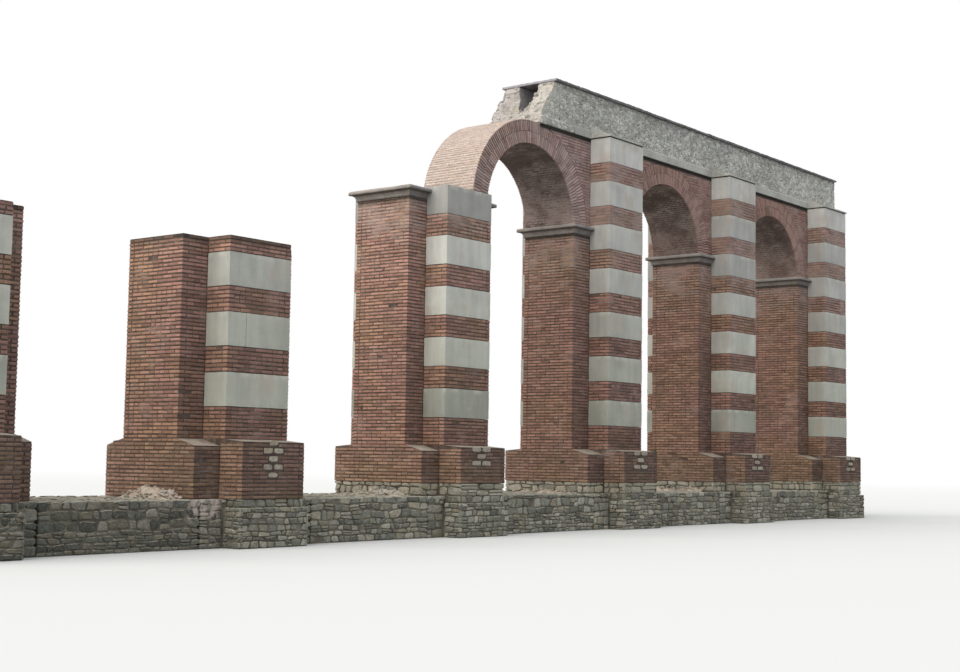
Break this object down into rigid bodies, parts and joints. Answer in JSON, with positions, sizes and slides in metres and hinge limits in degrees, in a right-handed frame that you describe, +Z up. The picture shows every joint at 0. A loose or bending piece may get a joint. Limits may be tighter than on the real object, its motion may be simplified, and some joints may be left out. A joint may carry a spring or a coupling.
{
  "type": "aqueduct arcade",
  "caption": "Partly fallen aqueduct arcade: brick piers banded with stone blocks, round brick arches and a covered water channel on a rubble foundation.",
  "frame": {"origin": "middle of the footprint, on the level plane that the lowest footings stand on", "axes": "+X along the arcade from the fallen end to the end with the channel, +Y through the arcade's thickness, away from the pictured side, +Z up"},
  "size_m": [39.27, 4.41, 12.74],
  "materials": {
    "brick": "weathered",
    "stone_block": "weathered",
    "rubble": "rough",
    "render": "weathered"
  },
  "bodies": {
    "root": {"footing_a": "rubble", "footing_b": "rubble", "footing_c": "rubble", "footing_d": "rubble", "footing_e": "rubble", "footing_f": "rubble", "low_wall_ab": "rubble", "low_wall_bc": "rubble", "low_wall_cd": "rubble", "low_wall_de": "rubble", "low_wall_ef": "rubble", "plinth_a": "brick", "plinth_b": "brick", "plinth_c": "brick", "plinth_d": "brick", "plinth_e": "brick", "plinth_f": "brick", "shaft_a": "brick", "shaft_b": "brick", "shaft_c": "brick", "shaft_d": "brick", "shaft_e": "brick", "shaft_f": "brick", "stones_a": "stone_block", "stones_b": "stone_block", "stones_c": "stone_block", "stones_d": "stone_block", "stones_e": "stone_block", "stones_f": "stone_block", "impost_c": "render", "impost_d": "render", "impost_e": "render", "impost_f": "render", "arch_cd": "brick", "arch_de": "brick", "arch_ef": "brick", "spandrel_d": "brick", "spandrel_e": "brick", "spandrel_f": "brick", "channel_bed": "rubble", "channel_front_wall": "rubble", "channel_back_wall": "rubble", "cover_slabs": "render"}
  },
  "joints": []
}
